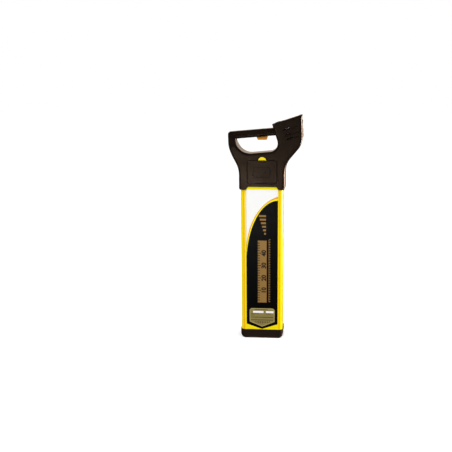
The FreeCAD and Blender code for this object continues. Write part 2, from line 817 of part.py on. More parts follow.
def displayBezel():
    length = displayLength
    frame = displayBlock(0, length, -half, half, -bezelHeight, 0, bezelRound)
    top = [edge for edge in frame.Edges if aboveDisplay(edgeMid(edge)) > -0.01]
    frame = frame.makeFillet(2.0, top)
    wall = headWall
    under = displayBlock(wall, length - wall, -half + wall, half - wall, -bezelHeight - 1, -bezelPlate,
                         bezelRound - wall)
    frame = frame.cut(under)
    window = displayBlock(windowStart, windowStart + windowLength, -windowWidth / 2, windowWidth / 2,
                          -windowThick, 1, 4.0)
    sight = displayBlock(windowStart + 3, windowStart + windowLength - 3, -windowWidth / 2 + 3,
                         windowWidth / 2 - 3, -bezelHeight, 1, 2.0)
    cutters = [window, sight]
    for side in (-1, 1):
        cutters.append(displayPost(buttonSize / 2 + slideFit, buttonStart, side * buttonOffset,
                                   -bezelHeight, 1))
    frame = frame.cut(cutters)
    spigot = displaySpigot()
    return fuseAll([frame, spigot])


def aboveDisplay(point):
    """Height of a point above the display face."""
    dx = point.x - displayRear[0]
    dz = point.z - displayRear[1]
    return -dx * math.sin(math.radians(displaySlope)) + dz * displayCos


def displaySpigot():
    """Short skirt under the bezel that drops into the head shell."""
    out = headWall + 0.3
    length = displayLength
    front = length - out - 4.2
    ring = displayBlock(out, front, -half + out, half - out, -bezelHeight - 4, -bezelPlate, 4.0)
    inner = displayBlock(out + 1.6, front - 1.6, -half + out + 1.6, half - out - 1.6,
                         -bezelHeight - 5, -bezelPlate + 1, 3.0)
    return ring.cut(inner)


def displayWindow():
    gap = 0.1
    return displayBlock(windowStart + gap, windowStart + windowLength - gap, -windowWidth / 2 + gap,
                        windowWidth / 2 - gap, -windowThick, 0, 4.0)


def displayPanel():
    return displayBlock(windowStart - 1, windowStart + windowLength + 1, -windowWidth / 2 - 1,
                        windowWidth / 2 + 1, -bezelPlate - 4.0, -bezelPlate, 1.0)


boardTop = -11.4
boardThick = 1.6


def displayBoard():
    board = displayBlock(5.5, displayLength - 7.5, -half + 5.5, half - 5.5, boardTop - boardThick, boardTop, 3.0)
    posts4 = []
    for u in (windowStart + 1, windowStart + windowLength - 1):
        for v in (-windowWidth / 2 + 1, windowWidth / 2 - 1):
            posts4.append(displayPost(1.6, u, v, boardTop, -bezelPlate - 4.0))
    return fuseAll([board] + posts4)


def tactSwitches():
    switches = []
    for side in (-1, 1):
        base = displayBlock(buttonStart - 3, buttonStart + 3, side * buttonOffset - 3, side * buttonOffset + 3,
                            boardTop, boardTop + 3.4, 0.3)
        tip = displayPost(1.7, buttonStart, side * buttonOffset, boardTop + 3.4, boardTop + 4.4)
        switches.append(base.fuse(tip).removeSplitter())
    return Part.makeCompound(switches)


def pushButton(side):
    v = side * buttonOffset
    cap = displayPost(buttonSize / 2, buttonStart, v, -bezelPlate - 1.0, buttonProud)
    top = [edge for edge in cap.Edges if aboveDisplay(edgeMid(edge)) > buttonProud - 0.01
           and edge.Length > buttonSize]
    cap = cap.makeFillet(0.8, top)
    collar = displayPost(buttonSize / 2 + 1.2, buttonStart, v, -bezelPlate - 1.4, -bezelPlate - 0.05)
    stem = displayPost(2.2, buttonStart, v, boardTop + 4.4 + buttonTravel + 0.1, -bezelPlate - 1.0)
    return fuseAll([cap, collar, stem])


def noseGrille():
    """Banded cover of the loudspeaker on the front of the nose."""
    body = noseBlock(0, grilleHeight, -grilleWidth / 2, grilleWidth / 2, -grilleRecess, grilleFace, 2.0)
    bands = [noseBlock(low, high, -grilleWidth / 2 + 1, grilleWidth / 2 - 1, -grilleRecess + 0.2,
                       grilleBand, min(3.0, (high - low) * 0.45))
             for low, high in ((46.5, 56.0), (34.3, 36.3), (15.5, 28.5), (2.0, 12.0))]
    slots = [noseBlock(low, high, -26, 26, -5, 5)
             for low, high in ((37.8, 40.4), (42.0, 44.6), (30.0, 32.6), (13.0, 14.6))]
    return fuseAll([body] + bands).cut(slots)


def loudspeaker():
    front = -headWall - 0.1
    frame = alongX(speakerRadius, front - 11, front, 0, speakerUp)
    frame = frame.cut(alongX(speakerRadius - 3, front - 9, front + 1, 0, speakerUp))
    basket = Part.makeCone(14.0, speakerRadius - 1, 9.0, Vector(front - 20, 0, speakerUp), Vector(1, 0, 0))
    magnet = alongX(14.0, front - 28, front - 19.5, 0, speakerUp)
    return toNose(fuseAll([frame, basket, magnet]))


def speakerCone():
    back = -headWall - 9.1
    rim = speakerRadius - 3.1
    cone = Part.makeCone(7.0, rim, 6.0, Vector(back, 0, speakerUp), Vector(1, 0, 0))
    return toNose(cone.cut(Part.makeCone(6.0, rim - 1, 6.0, Vector(back + 0.8, 0, speakerUp), Vector(1, 0, 0))))


def headphoneSocket():
    x, z = socketPlace
    barrel = alongY(socketRadius - 0.1, x, -half + socketDeep, -innerHalf, z)
    body = box(x - 6, x + 6, -innerHalf, -innerHalf + 12, z - 6, z + 6)
    bore = alongY(1.8, x, -half, -half + 14, z)
    return fuseAll([barrel, body]).cut(bore)


boardY = 8.0
mainBoardFoot = skirtBottom + 27.5


def mainBoard():
    foot = mainBoardFoot
    board = plate(-54, 54, foot, foot + 85, 2, boardY, boardY + boardThick)
    chips = [box(-30, -12, boardY - 1.8, boardY, foot + 34, foot + 52),
             box(8, 24, boardY - 1.8, boardY, foot + 49, foot + 65),
             box(-36, 36, boardY - 2.4, boardY, foot + 2, foot + 8)]
    return fuseAll([board] + chips)


def boardPosts():
    """Posts of the far half that carry the main board."""
    return [alongY(3.4, x, boardY + boardThick, innerHalf + 0.5, z)
            for x in (-46.0, 46.0) for z in (mainBoardFoot + 10.0, mainBoardFoot + 75.0)]


def trigger():
    px, pz = triggerPivot
    low = triggerBottomZ
    y = triggerWidth / 2
    rear = triggerRearX
    under = gripUndersideZ(rear)
    blade = slab([(rear + 5.0, low), (triggerFrontX - 3.0, low + 0.3), (triggerFrontX, gripUndersideZ(triggerFrontX)),
                  (px + 4.2, pz), (px - 3.0, pz + 2.5), (rear + 8.0, under + 7.0),
                  (rear, under + 7.0), (rear, under + 1.0)],
                 [2.5, 2.0, 1.0, 0, 1.0, 1.0, 1.0, 1.0], -y, y)
    hub = alongY(4.2, px, -y, y, pz)
    stop = box(rear - 5.0, rear + 1.0, -y, y, under + 3.4, under + 6.0)
    body = fuseAll([blade, hub, stop])
    return body.cut(alongY(triggerPin / 2 + pinFit, px, -y - 1, y + 1, pz))


def triggerPinPiece():
    px, pz = triggerPivot
    return alongY(triggerPin / 2, px, -triggerWidth / 2 - 3.0, triggerWidth / 2 + 3.0, pz)


def triggerSpring():
    x = triggerRearX + 4.2
    z0 = gripUndersideZ(triggerRearX) + 7.0 + 0.05
    wire = 0.8
    turns = 5
    rise = gripTopZ(x - 3) - headWall - 0.1 - z0
    return helix(3.0, wire, (rise - wire) / turns, turns, x, 0, z0)


def triggerSwitch():
    x0 = -9.0
    z0 = triggerPivot[1] + 4.2
    body = box(x0, x0 + 12.8, -3.0, 3.0, z0, z0 + 6.6)
    plunger = box(x0 + 3.0, x0 + 5.0, -1.0, 1.0, z0 - 0.6, z0)
    lugs = alongY(1.5, x0 + 6.4, -gripDepth / 2 + headWall + 0.3, gripDepth / 2 - headWall - 0.3, z0 + 4.0)
    return fuseAll([body, plunger, lugs])


def aerialCarrier():
    side = tubeX - tubeWall - 7.5
    spine = plate(-side, side, bootFloor + 20.0, skirtBottom - 13.5, 6, -1.2, 1.2)
    cutters = [alongY(coreDiameter / 2 + 0.2, 0, -5, 5, z) for z in aerialHeights.values()]
    for z in (120.0, 190.0, 260.0, 330.0):
        cutters.append(plate(-38, 38, z, z + 44, 8, -5, 5))
    return spine.cut(cutters)


def aerialCore(name):
    return alongY(coreDiameter / 2, 0, -coreLength / 2, coreLength / 2, aerialHeights[name])


def aerialCoil(name):
    """Two wound bobbins, one each side of the carrier."""
    z = aerialHeights[name]
    bobbins = []
    for side in (-1, 1):
        profile = [(coreDiameter / 2 + 0.1, 1.2), (coilDiameter / 2, 1.2), (coilDiameter / 2, 2.6),
                   (coilDiameter / 2 - 3, 2.6), (coilDiameter / 2 - 3, 20.0), (coilDiameter / 2, 20.0),
                   (coilDiameter / 2, 21.4), (coreDiameter / 2 + 0.1, 21.4)]
        wire = Part.makePolygon([Vector(r, side * y, 0) for r, y in profile + profile[:1]])
        bobbin = Part.Face([wire]).revolve(Vector(0, 0, 0), Vector(0, 1, 0), 360)
        bobbin.translate(Vector(0, 0, z))
        bobbins.append(bobbin)
    return Part.makeCompound(bobbins)


def foamBlocks():
    """Foam pads that hold the carrier off the blade's walls."""
    pads = []
    for z in (100.0, 240.0, 390.0):
        for side in (-1, 1):
            y0 = 1.2 if side > 0 else -tubeY + tubeWall
            y1 = tubeY - tubeWall if side > 0 else -1.2
            pads.append(box(16.5 - tubeX + tubeWall, tubeX - tubeWall - 16.5, y0, y1, z, z + 18))
    return Part.makeCompound(pads)


def preampBoard():
    foot = skirtBottom - 53.5
    board = box(-26, 26, -2.8, -1.2, foot, foot + 32)
    parts = [box(-18, -6, -4.6, -2.8, foot + 8, foot + 20), box(4, 14, -5.2, -2.8, foot + 6, foot + 24)]
    return fuseAll([board] + parts)


cableRoute = [(9.1, 5.0, 55), (34.0, 5.6, 64), (49.0, 5.2, 80), (56.8, 5.0, 108), (57.2, 5.6, 250),
              (56.4, 6.0, skirtBottom - 93.5), (38.0, 6.0, skirtBottom - 15.5), (27.0, 6.2, mainBoardFoot + 1.7)]
cableDiameter = 3.0


def aerialCable():
    points = [Vector(*point) for point in cableRoute]
    edges = []
    start = points[0]
    for before, here, after in zip(points, points[1:], points[2:]):
        back = (before - here).normalize()
        ahead = (after - here).normalize()
        turn = math.pi - back.getAngle(ahead)
        run = min((before - here).Length, (after - here).Length)
        radius = 0.45 * run / math.tan(turn / 2)
        reach = radius * math.tan(turn / 2)
        middle = (back + ahead).normalize()
        centre = here + middle * (radius / math.cos(turn / 2))
        arcStart = here + back * reach
        arcEnd = here + ahead * reach
        edges.append(Part.LineSegment(start, arcStart).toShape())
        edges.append(Part.Arc(arcStart, centre - middle * radius, arcEnd).toShape())
        start = arcEnd
    edges.append(Part.LineSegment(start, points[-1]).toShape())
    path = Part.Wire(edges)
    heading = (points[1] - points[0]).normalize()
    section = Part.Wire(Part.makeCircle(cableDiameter / 2, points[0], heading))
    tube = path.makePipeShell([section], True, True)
    expected = math.pi * cableDiameter ** 2 / 4 * path.Length
    print("aerial cable length %.0f, volume ratio %.3f" % (path.Length, tube.Volume / expected))
    return tube


def save(name, shape):
    solids = shape.Solids
    if len(solids) > 1:
        shape = Part.makeCompound(solids)
    else:
        shape = solids[0]
    print("%-20s %2d solid  %9.0f mm3  %s" % (name, len(solids), shape.Volume, shape.isValid()))
    shape.exportStep(os.path.join("parts", name + ".step"))


def main():
    os.makedirs("parts", exist_ok=True)
    near, far = headShells()
    far = fuseAll([far] + boardPosts())
    ridgesNear = [gillRidge(x, z, length) for x, z, length, slots in gills]
    near = near.fuse(ridgesNear).removeSplitter()
    near = near.cut(alongY(socketRadius, socketPlace[0], -half - 5, -innerHalf + 1, socketPlace[1]))
    save("head_shell_near", near)
    save("head_shell_far", far)
    save("blade_tube", bladeTube())
    save("foot_boot", footBoot())
    save("foot_screws", footScrews())
    save("shell_screws", shellScrews())
    save("side_label", sideLabel())
    save("data_plate", dataPlate())
    save("neck_gasket", neckGasket())
    save("display_bezel", displayBezel())
    save("display_window", displayWindow())
    save("display_panel", displayPanel())
    save("display_board", displayBoard())
    save("tact_switches", tactSwitches())
    save("mode_button", pushButton(-1))
    save("info_button", pushButton(1))
    save("nose_grille", noseGrille())
    save("loudspeaker", loudspeaker())
    save("speaker_cone", speakerCone())
    save("headphone_socket", headphoneSocket())
    save("main_board", mainBoard())
    save("battery_door", batteryDoor())
    save("door_gasket", doorGasket())
    save("door_pin", doorPin())
    save("door_latch", doorLatch())
    save("latch_spring", latchSpring())
    save("battery_tray", batteryTray())
    save("battery_holder", batteryHolder())
    save("battery_cells", batteryCells())
    save("battery_contacts", batteryContacts())
    save("trigger", trigger())
    save("trigger_pin", triggerPinPiece())
    save("trigger_spring", triggerSpring())
    save("trigger_switch", triggerSwitch())
    save("aerial_carrier", aerialCarrier())
    for name in aerialHeights:
        save(name + "_aerial_core", aerialCore(name))
        save(name + "_aerial_coil", aerialCoil(name))
    save("foam_blocks", foamBlocks())
    save("preamp_board", preampBoard())
    save("aerial_cable", aerialCable())


main()
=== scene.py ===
import bpy
import math
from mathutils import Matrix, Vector


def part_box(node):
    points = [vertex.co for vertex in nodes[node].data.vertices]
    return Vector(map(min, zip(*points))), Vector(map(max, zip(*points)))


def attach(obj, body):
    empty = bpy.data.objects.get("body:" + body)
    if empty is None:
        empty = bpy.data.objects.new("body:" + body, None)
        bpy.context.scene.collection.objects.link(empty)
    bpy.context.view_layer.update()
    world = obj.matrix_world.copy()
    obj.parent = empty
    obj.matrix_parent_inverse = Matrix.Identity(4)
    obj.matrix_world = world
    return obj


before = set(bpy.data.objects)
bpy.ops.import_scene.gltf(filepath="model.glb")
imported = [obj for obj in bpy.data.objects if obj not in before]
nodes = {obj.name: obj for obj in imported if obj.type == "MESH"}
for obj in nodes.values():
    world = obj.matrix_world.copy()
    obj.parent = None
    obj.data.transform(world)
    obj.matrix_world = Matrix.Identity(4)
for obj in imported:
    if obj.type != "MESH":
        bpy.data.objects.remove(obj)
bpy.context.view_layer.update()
print("frame loaded,", len(nodes), "nodes")


# Small tools that every finish and piece uses

def linearColour(hexText):
    channels = []
    for i in (1, 3, 5):
        value = int(hexText[i:i + 2], 16) / 255
        channels.append(value / 12.92 if value <= 0.04045 else ((value + 0.055) / 1.055) ** 2.4)
    return (*channels, 1.0)


def addNode(tree, kind, settings=None, links=None):
    node = tree.nodes.new(kind)
    for name, value in (settings or {}).items():
        setattr(node, name, value)
    for name, value in (links or {}).items():
        socket = node.inputs[name]
        if isinstance(value, bpy.types.NodeSocket):
            tree.links.new(value, socket)
        else:
            socket.default_value = value
    return node


def startMaterial(name, hexText, roughness, **sockets):
    material = bpy.data.materials.new(name)
    material.use_nodes = True
    tree = material.node_tree
    tree.nodes.clear()
    shader = addNode(tree, "ShaderNodeBsdfPrincipled", links={
        "Base Color": linearColour(hexText), "Roughness": roughness, **sockets})
    addNode(tree, "ShaderNodeOutputMaterial", links={"Surface": shader.outputs["BSDF"]})
    place = addNode(tree, "ShaderNodeTexCoord")
    return material, tree, shader, place.outputs["Object"]


def ramp(tree, value, stops):
    node = addNode(tree, "ShaderNodeValToRGB", links={"Fac": value})
    elements = node.color_ramp.elements
    while len(elements) < len(stops):
        elements.new(0.5)
    for element, (position, colour) in zip(elements, stops):
        element.position = position
        element.color = colour
    return node.outputs["Color"]


def grey(level):
    return (level, level, level, 1.0)


# Scale of a noise whose features are about this many millimetres across
def perMillimetre(size):
    return 1000.0 / size


# Moulded surface: grain bump, softened edges and a slow change of gloss, whose noise it gives back
def mouldedSurface(tree, shader, place, grain, depth, gloss, edge=0.0):
    fine = addNode(tree, "ShaderNodeTexNoise", links={
        "Vector": place, "Scale": perMillimetre(grain), "Detail": 2.0, "Roughness": 0.6})
    slow = addNode(tree, "ShaderNodeTexNoise", links={
        "Vector": place, "Scale": perMillimetre(45.0), "Detail": 3.0, "Roughness": 0.55})
    rough = addNode(tree, "ShaderNodeMapRange", links={
        "Value": slow.outputs["Fac"], "From Min": 0.3, "From Max": 0.7,
        "To Min": gloss[0], "To Max": gloss[1]})
    tree.links.new(rough.outputs["Result"], shader.inputs["Roughness"])
    bump = addNode(tree, "ShaderNodeBump", links={
        "Height": fine.outputs["Fac"], "Strength": 1.0, "Distance": depth})
    if edge:
        softened = addNode(tree, "ShaderNodeBevel", {"samples": 4}, {"Radius": edge})
        tree.links.new(softened.outputs["Normal"], bump.inputs["Normal"])
    tree.links.new(bump.outputs["Normal"], shader.inputs["Normal"])
    return slow


warmSheen = "#ffdcbc"  # black mouldings shine a little brown

# Head: glass-filled nylon out of a spark-eroded mould.
# Gives the eye a near-black brown with a soft warm sheen, wide softened corners and paler rubbed patches.
headLook = {"body": "#120b08", "rubbed": "#1a110c", "rubbedSize": 22.0, "rubbedFrom": 0.40, "rubbedTo": 0.75,
            "grain": 0.9, "grainDepth": 0.00005, "gloss": (0.27, 0.36), "edge": 0.0022, "specular": 0.45}


def sparkErodedNylon(look=headLook):
    material, tree, shader, place = startMaterial("sparkErodedNylon", look["body"], look["gloss"][0], **{
        "IOR": 1.53, "Specular IOR Level": look["specular"], "Specular Tint": linearColour(warmSheen)})
    mouldedSurface(tree, shader, place, look["grain"], look["grainDepth"], look["gloss"], look["edge"])
    cloud = addNode(tree, "ShaderNodeTexNoise", links={
        "Vector": place, "Scale": perMillimetre(look["rubbedSize"]), "Detail": 5.0, "Roughness": 0.65})
    colour = ramp(tree, cloud.outputs["Fac"], [
        (look["rubbedFrom"], linearColour(look["body"])), (look["rubbedTo"], linearColour(look["rubbed"]))])
    tree.links.new(colour, shader.inputs["Base Color"])
    return material


# Blade: yellow ABS tube with a satin gloss, with painted shade in amber bands where the flat sides turn into
# the corners.
# Its end inside the neck is painted black as shade, where the head hides it.
bladeLook = {"body": "#ffe500", "corner": "#f6a800", "flatEnds": 0.0575, "cornerShadeWidth": 0.005,
             "cornerShadeShare": 0.85, "neckShadeFrom": 0.531, "neckShade": "#0a0807", "grain": 1.6, "grainDepth": 0.00002,
             "gloss": (0.24, 0.34), "edge": 0.0006, "specular": 0.35}


def satinAbs(look=bladeLook):
    material, tree, shader, place = startMaterial("yellowSatinAbs", look["body"], look["gloss"][0], **{
        "IOR": 1.54, "Specular IOR Level": look["specular"], "Coat Weight": 0.15, "Coat Roughness": 0.12})
    mouldedSurface(tree, shader, place, look["grain"], look["grainDepth"], look["gloss"], look["edge"])
    split = addNode(tree, "ShaderNodeSeparateXYZ", links={"Vector": place})
    # Painted shade: amber bands down the tube where the flat sides turn into the corners
    across = addNode(tree, "ShaderNodeMath", {"operation": "ABSOLUTE"}, {0: split.outputs["X"]})
    middle = look["flatEnds"] + look["cornerShadeWidth"] * 0.5
    off = addNode(tree, "ShaderNodeMath", {"operation": "SUBTRACT"}, {0: across.outputs[0], 1: middle})
    away = addNode(tree, "ShaderNodeMath", {"operation": "ABSOLUTE"}, {0: off.outputs[0]})
    band = addNode(tree, "ShaderNodeMapRange", {"interpolation_type": "SMOOTHSTEP"}, {
        "Value": away.outputs[0], "From Max": look["cornerShadeWidth"], "To Min": look["cornerShadeShare"], "To Max": 0.0})
    paintedCornerShade = addNode(tree, "ShaderNodeMix", {"data_type": "RGBA"}, {"Factor": band.outputs["Result"]})
    paintedCornerShade.inputs[6].default_value = linearColour(look["body"])
    paintedCornerShade.inputs[7].default_value = linearColour(look["corner"])
    # Painted shade: black on the tube above the neck's lower edge, where it runs inside the head
    inNeckShade = addNode(tree, "ShaderNodeMath", {"operation": "GREATER_THAN"}, {
        0: split.outputs["Z"], 1: look["neckShadeFrom"]})
    finish = addNode(tree, "ShaderNodeMix", {"data_type": "RGBA"}, {"Factor": inNeckShade.outputs[0]})
    tree.links.new(paintedCornerShade.outputs[2], finish.inputs[6])
    finish.inputs[7].default_value = linearColour(look["neckShade"])
    tree.links.new(finish.outputs[2], shader.inputs["Base Color"])
    return material


# Boot: black moulded rubber, scuffed grey-brown low down where it meets the ground.
bootLook = {"body": "#1c130d", "scuffed": "#37291f", "scuffTop": 0.012, "scuffShare": 0.6, "scuffSize": 5.0,
            "grain": 1.4, "grainDepth": 0.00007, "gloss": (0.55, 0.72), "edge": 0.0008}


def scuffedRubber(look=bootLook):
    material, tree, shader, place = startMaterial("scuffedRubber", look["body"], look["gloss"][0], **{
        "IOR": 1.5, "Specular Tint": linearColour(warmSheen)})
    mouldedSurface(tree, shader, place, look["grain"], look["grainDepth"], look["gloss"], look["edge"])
    split = addNode(tree, "ShaderNodeSeparateXYZ", links={"Vector": place})
    low = addNode(tree, "ShaderNodeMapRange", {"interpolation_type": "SMOOTHSTEP"}, {
        "Value": split.outputs["Z"], "From Max": look["scuffTop"],
        "To Min": look["scuffShare"], "To Max": 0.0})
    marks = addNode(tree, "ShaderNodeTexNoise", links={
        "Vector": place, "Scale": perMillimetre(look["scuffSize"]), "Detail": 8.0, "Roughness": 0.75})
    sharp = addNode(tree, "ShaderNodeMapRange", links={
        "Value": marks.outputs["Fac"], "From Min": 0.48, "From Max": 0.66})
    worn = addNode(tree, "ShaderNodeMath", {"operation": "MULTIPLY"}, {
        0: low.outputs["Result"], 1: sharp.outputs["Result"]})
    colour = ramp(tree, worn.outputs[0], [
        (0.0, linearColour(look["body"])), (look["scuffShare"], linearColour(look["scuffed"]))])
    tree.links.new(colour, shader.inputs["Base Color"])
    return material


# Plain moulded or printed finishes that differ only in colour, gloss and grain
plainLooks = {
    # Seen from outside: dark satin frames, an orange-yellow trigger and a yellow latch, dull grey keys
    "bezelAbs": {"hex": "#0d0907", "grain": 0.8, "depth": 0.00003, "gloss": (0.3, 0.42), "ior": 1.54,
                 "edge": 0.0005, "sheen": warmSheen},
    "triggerAcetal": {"hex": "#d98a1a", "grain": 1.2, "depth": 0.00002, "gloss": (0.35, 0.45), "ior": 1.48,
                      "edge": 0.0006},
    "latchAbs": {"hex": "#ffe600", "grain": 1.0, "depth": 0.00002, "gloss": (0.25, 0.35), "ior": 1.54,
                 "edge": 0.0004},
    "keypadSilicone": {"hex": "#26262a", "grain": 0.7, "depth": 0.00003, "gloss": (0.55, 0.7), "ior": 1.43,
                       "edge": 0.0004},
    # Seals and inner parts: dull black rubber, dark satin polymer, green board, matt paper and foam
    "sealRubber": {"hex": "#070605", "grain": 0.9, "depth": 0.00003, "gloss": (0.6, 0.8), "ior": 1.5,
                   "sheen": warmSheen},
    "innerPolymer": {"hex": "#161312", "grain": 1.1, "depth": 0.00003, "gloss": (0.45, 0.6), "ior": 1.5,
                     "edge": 0.0004, "sheen": warmSheen},
    "boardLaminate": {"hex": "#0f5a38", "grain": 1.5, "depth": 0.00002, "gloss": (0.3, 0.4), "ior": 1.55},
    "speakerPaper": {"hex": "#1b1a1a", "grain": 1.3, "depth": 0.00010, "gloss": (0.75, 0.9), "ior": 1.45},
    "sinteredFerrite": {"hex": "#2c2c30", "grain": 0.6, "depth": 0.00004, "gloss": (0.6, 0.75), "ior": 1.6},
    "openFoam": {"hex": "#3b3b40", "grain": 1.6, "depth": 0.00060, "gloss": (0.85, 0.95), "ior": 1.4},
    "cableSheath": {"hex": "#2b2b2e", "grain": 1.0, "depth": 0.00002, "gloss": (0.4, 0.5), "ior": 1.5},
    # Label films: flat black that hardly shines, and olive gold
    "blackFilm": {"hex": "#020202", "grain": 2.0, "depth": 0.00001, "gloss": (0.3, 0.38), "ior": 1.5,
                  "specular": 0.12},
    "oliveFilm": {"hex": "#91824b", "grain": 1.8, "depth": 0.00001, "gloss": (0.28, 0.36), "ior": 1.5},
}


flowShade = 0.86  # moulded colour varies this much where the melt flowed
inkShade = 0.93  # printed colour varies this much where the ink is thin


def plainPolymer(name):
    look = plainLooks[name]
    material, tree, shader, place = startMaterial(name, look["hex"], look["gloss"][0], **{
        "IOR": look["ior"], "Specular IOR Level": look.get("specular", 0.4),
        "Specular Tint": linearColour(look.get("sheen", "#ffffff"))})
    edge = look.get("edge", 0.0)
    slow = mouldedSurface(tree, shader, place, look["grain"], look["depth"], look["gloss"], edge)
    base = linearColour(look["hex"])
    darker = tuple(channel * flowShade for channel in base[:3]) + (1.0,)
    colour = ramp(tree, slow.outputs["Fac"], [(0.35, darker), (0.65, base)])
    tree.links.new(colour, shader.inputs["Base Color"])
    return material


# Metals: zinc-plated screws, drawn spring wire and nickel contacts, told apart by gloss and marks
metalLooks = {
    "zincPlatedSteel": {"hex": "#b9b6ac", "gloss": (0.28, 0.42), "mark": 0.8},
    "drawnSpringSteel": {"hex": "#8d9196", "gloss": (0.22, 0.32), "mark": 0.5},
    "nickelContact": {"hex": "#c9c4b4", "gloss": (0.18, 0.28), "mark": 1.5},
}


def platedMetal(name):
    look = metalLooks[name]
    material, tree, shader, place = startMaterial(name, look["hex"], 0.3, **{"Metallic": 1.0})
    mouldedSurface(tree, shader, place, look["mark"], 0.00001, look["gloss"], 0.0002)
    return material


# Winding: enamelled copper wire, laid in turns round the core's axis
def enamelledWinding():
    material, tree, shader, place = startMaterial("enamelledCopper", "#a8521f", 0.3, **{"Metallic": 0.8})
    turns = addNode(tree, "ShaderNodeTexWave", {"wave_type": "BANDS", "bands_direction": "Y"}, {
        "Vector": place, "Scale": 140.0})  # wire a millimetre apart, coarser than real to show
    bump = addNode(tree, "ShaderNodeBump", links={"Height": turns.outputs["Fac"], "Distance": 0.0004})
    tree.links.new(bump.outputs["Normal"], shader.inputs["Normal"])
    return material


# Battery cells: shrink film with a paler end band
def shrinkFilm():
    material, tree, shader, place = startMaterial("cellShrinkFilm", "#2c3034", 0.3, **{"IOR": 1.5})
    split = addNode(tree, "ShaderNodeSeparateXYZ", links={"Vector": place})
    along = addNode(tree, "ShaderNodeMapRange", links={
        "Value": split.outputs["X"], "From Min": -0.025, "From Max": 0.028})
    band, film = linearColour("#c9a227"), linearColour("#23272b")
    colour = ramp(tree, along.outputs["Result"], [(0.0, band), (0.22, band), (0.24, film), (0.9, film)])
    tree.links.new(colour, shader.inputs["Base Color"])
    return material


# Window: hard-coated clear acrylic
def clearAcrylic():
    material, tree, shader, place = startMaterial("clearAcrylic", "#f4f8f6", 0.03, **{
        "IOR": 1.49, "Transmission Weight": 1.0})
    smear = addNode(tree, "ShaderNodeTexNoise", links={
        "Vector": place, "Scale": perMillimetre(14.0), "Detail": 4.0})
    rough = addNode(tree, "ShaderNodeMapRange", links={
        "Value": smear.outputs["Fac"], "From Min": 0.45, "From Max": 0.7, "To Min": 0.02, "To Max": 0.09})
    tree.links.new(rough.outputs["Result"], shader.inputs["Roughness"])
    return material


# Display: reflective liquid crystal, grey-green, with a faint square cell grid
def reflectiveCrystal():
    material, tree, shader, place = startMaterial("reflectiveCrystal", "#8f9a86", 0.25, **{"IOR": 1.5})
    grid = addNode(tree, "ShaderNodeTexBrick", {"offset": 0.0}, {
        "Vector": place, "Scale": 1.0, "Color1": linearColour("#919c88"), "Color2": linearColour("#8a9582"),
        "Mortar": linearColour("#7d8775"), "Mortar Size": 0.00012,
        "Brick Width": 0.0012, "Row Height": 0.0012})  # cells coarser than real to show
    tree.links.new(grid.outputs["Color"], shader.inputs["Base Color"])
    return material


# Screen-printed inks on the label films
inks = {"inkWhite": "#fdfdfb", "inkYellow": "#fff000", "inkAmber": "#f39a00", "inkGold": "#94713c",
        "inkBlack": "#080606", "inkOlive": "#1f1a0c", "inkPaleOlive": "#b7a86a"}


def screenInk(name):
    material, tree, shader, place = startMaterial(name, inks[name], 0.35, **{
        "IOR": 1.5, "Specular IOR Level": 0.25})
    speckle = addNode(tree, "ShaderNodeTexNoise", links={
        "Vector": place, "Scale": perMillimetre(1.2), "Detail": 3.0})
    base = linearColour(inks[name])
    thin = tuple(channel * inkShade for channel in base[:3]) + (1.0,)
    colour = ramp(tree, speckle.outputs["Fac"], [(0.3, thin), (0.7, base)])
    tree.links.new(colour, shader.inputs["Base Color"])
    return material


finishes = {
    "head_shell_near": "head", "head_shell_far": "head", "battery_door": "head", "blade_tube": "blade",
    "foot_boot": "boot", "foot_screws": "zincPlatedSteel", "shell_screws": "zincPlatedSteel",
    "side_label": "blackFilm", "data_plate": "oliveFilm", "neck_gasket": "sealRubber",
    "display_bezel": "bezelAbs", "display_window": "window", "display_panel": "crystal",
    "display_board": "boardLaminate", "tact_switches": "innerPolymer", "mode_button": "keypadSilicone",
    "info_button": "keypadSilicone", "nose_grille": "bezelAbs", "loudspeaker": "innerPolymer",
    "speaker_cone": "speakerPaper", "headphone_socket": "bezelAbs", "main_board": "boardLaminate",
    "door_gasket": "sealRubber", "door_pin": "zincPlatedSteel", "door_latch": "latchAbs",
    "latch_spring": "drawnSpringSteel", "battery_tray": "innerPolymer", "battery_holder": "innerPolymer",
    "battery_cells": "cells", "battery_contacts": "nickelContact", "trigger": "triggerAcetal",
    "trigger_pin": "zincPlatedSteel", "trigger_spring": "drawnSpringSteel", "trigger_switch": "innerPolymer",
    "aerial_carrier": "innerPolymer", "lower_aerial_core": "sinteredFerrite",
    "upper_aerial_core": "sinteredFerrite", "lower_aerial_coil": "winding", "upper_aerial_coil": "winding",
    "foam_blocks": "openFoam", "preamp_board": "boardLaminate", "aerial_cable": "cableSheath",
}

materials = {"head": sparkErodedNylon(), "blade": satinAbs(), "boot": scuffedRubber(),
             "window": clearAcrylic(), "crystal": reflectiveCrystal(), "cells": shrinkFilm(),
             "winding": enamelledWinding()}
for name in plainLooks:
    materials[name] = plainPolymer(name)
for name in metalLooks:
    materials[name] = platedMetal(name)
for name in inks:
    materials[name] = screenInk(name)
for node, finish in finishes.items():
    nodes[node].data.materials.clear()
    nodes[node].data.materials.append(materials[finish])
print("finishes made:", len(materials))


# Printed patches: thin flat shapes laid on a film or a moulded face, in millimetres

def printPatch(name, outlines, face, material, body="locator_body"):
    mesh = bpy.data.meshes.new(name)
    points = []
    faces = []
    for outline in outlines:
        faces.append(range(len(points), len(points) + len(outline)))
        points += [(x / 1000, face, z / 1000) for x, z in outline]
    mesh.from_pydata(points, [], faces)
    mesh.update()
    for polygon in mesh.polygons:
        if polygon.normal.y > 0:
            polygon.flip()
    mesh.materials.append(materials[material])
    piece = bpy.data.objects.new(name, mesh)
    bpy.context.scene.collection.objects.link(piece)
    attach(piece, body)


def rectangle(x0, x1, z0, z1):
    return [(x0, z0), (x1, z0), (x1, z1), (x0, z1)]


def ringOf(outline, inner):
    return [[outline[i], outline[(i + 1) % len(outline)], inner[(i + 1) % len(outline)], inner[i]]
            for i in range(len(outline))]


